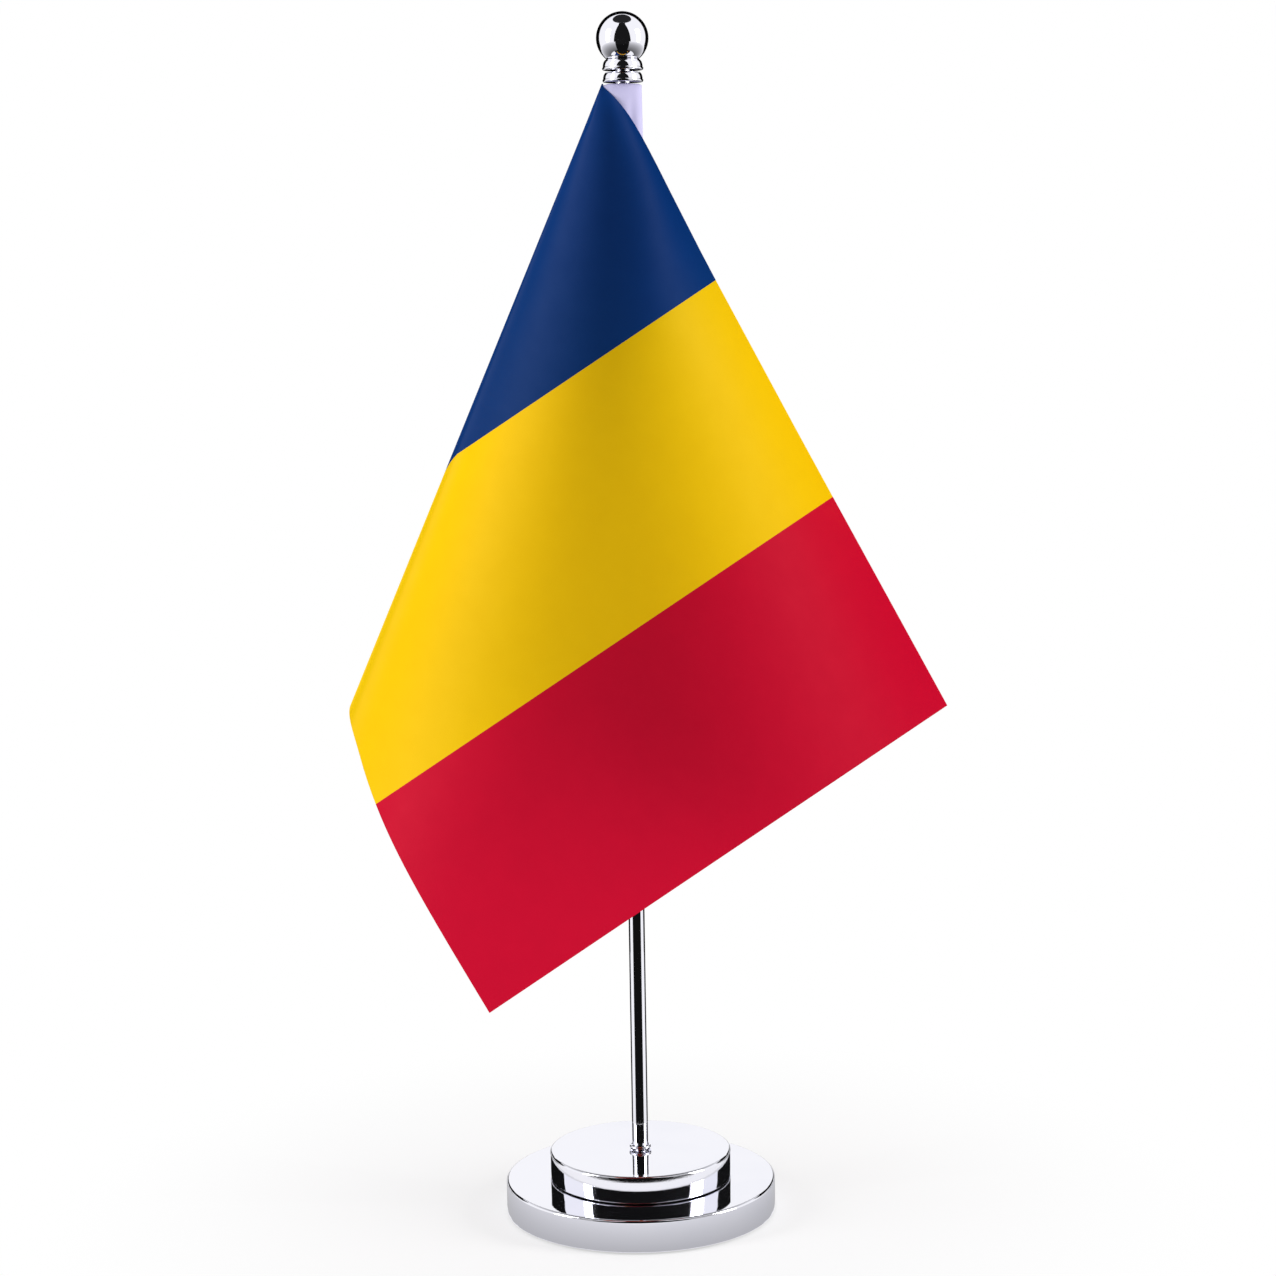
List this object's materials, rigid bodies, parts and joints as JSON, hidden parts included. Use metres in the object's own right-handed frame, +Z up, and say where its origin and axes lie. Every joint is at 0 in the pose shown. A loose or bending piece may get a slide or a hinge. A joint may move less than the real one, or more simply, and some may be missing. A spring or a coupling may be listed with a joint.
{
  "type": "desk flag stand",
  "caption": "Small satin flag of three vertical bands on a slim pole with a ball finial, standing on a round two-tier chromed base.",
  "frame": {"origin": "centre of the foot pad's underside, on the pole's axis", "axes": "+Z up along the pole; +Y away from the viewer, so the flag falls towards -Y and +X at rest"},
  "size_m": [0.1368, 0.1093, 0.3029],
  "materials": {
    "chrome": "mirror-bright chrome plate",
    "bright_steel": "zinc-plated fastener steel",
    "cast_iron": "as cast, dark",
    "pad_rubber": "matt foam rubber",
    "satin_white": "white satin with a cool cast",
    "satin_blue": "satin",
    "satin_yellow": "satin",
    "satin_red": "satin",
    "thread_white": "polyester sewing thread"
  },
  "bodies": {
    "base": {"foot_pad": "pad_rubber", "base_lower_weight": "cast_iron", "base_lower_cover": "chrome", "base_upper_weight": "cast_iron", "base_upper_cover": "chrome", "captive_nut": "bright_steel", "tier_screw_1": "bright_steel", "tier_screw_2": "bright_steel", "tier_screw_3": "bright_steel"},
    "foot_ring": {"pole_foot_ring": "chrome"},
    "pole": {"pole_rod": "chrome"},
    "flag": {"flag_sleeve": "satin_white", "sleeve_stitching": "thread_white", "flag_band_blue": "satin_blue", "flag_band_yellow": "satin_yellow", "flag_band_red": "satin_red"},
    "collar": {"finial_collar": "chrome"},
    "finial": {"finial_neck": "chrome", "finial_ball": "chrome"}
  },
  "joints": [
    {"name": "pole_turn", "type": "hinge", "parent": "base", "child": "foot_ring", "pos_m": [0, 0, 0.0163], "axis": [0, 0, 1], "range_deg": [0, 4320]},
    {"name": "pole_rise", "type": "slide", "parent": "foot_ring", "child": "pole", "axis": [0, 0, 1], "range_m": [0, 0.0084]},
    {"name": "flag_swivel", "type": "hinge", "parent": "pole", "child": "flag", "pos_m": [0, 0, 0.2], "axis": [0, 0, 1], "continuous": true},
    {"name": "finial_turn", "type": "hinge", "parent": "pole", "child": "collar", "pos_m": [0, 0, 0.2859], "axis": [0, 0, 1], "range_deg": [0, 3240]},
    {"name": "finial_rise", "type": "slide", "parent": "collar", "child": "finial", "axis": [0, 0, 1], "range_m": [0, 0.0063]}
  ],
  "couplings": [
    {"joint": "pole_turn", "follows": "pole_rise", "rad_per_m": 8975.9},
    {"joint": "finial_turn", "follows": "finial_rise", "rad_per_m": 8975.9}
  ]
}
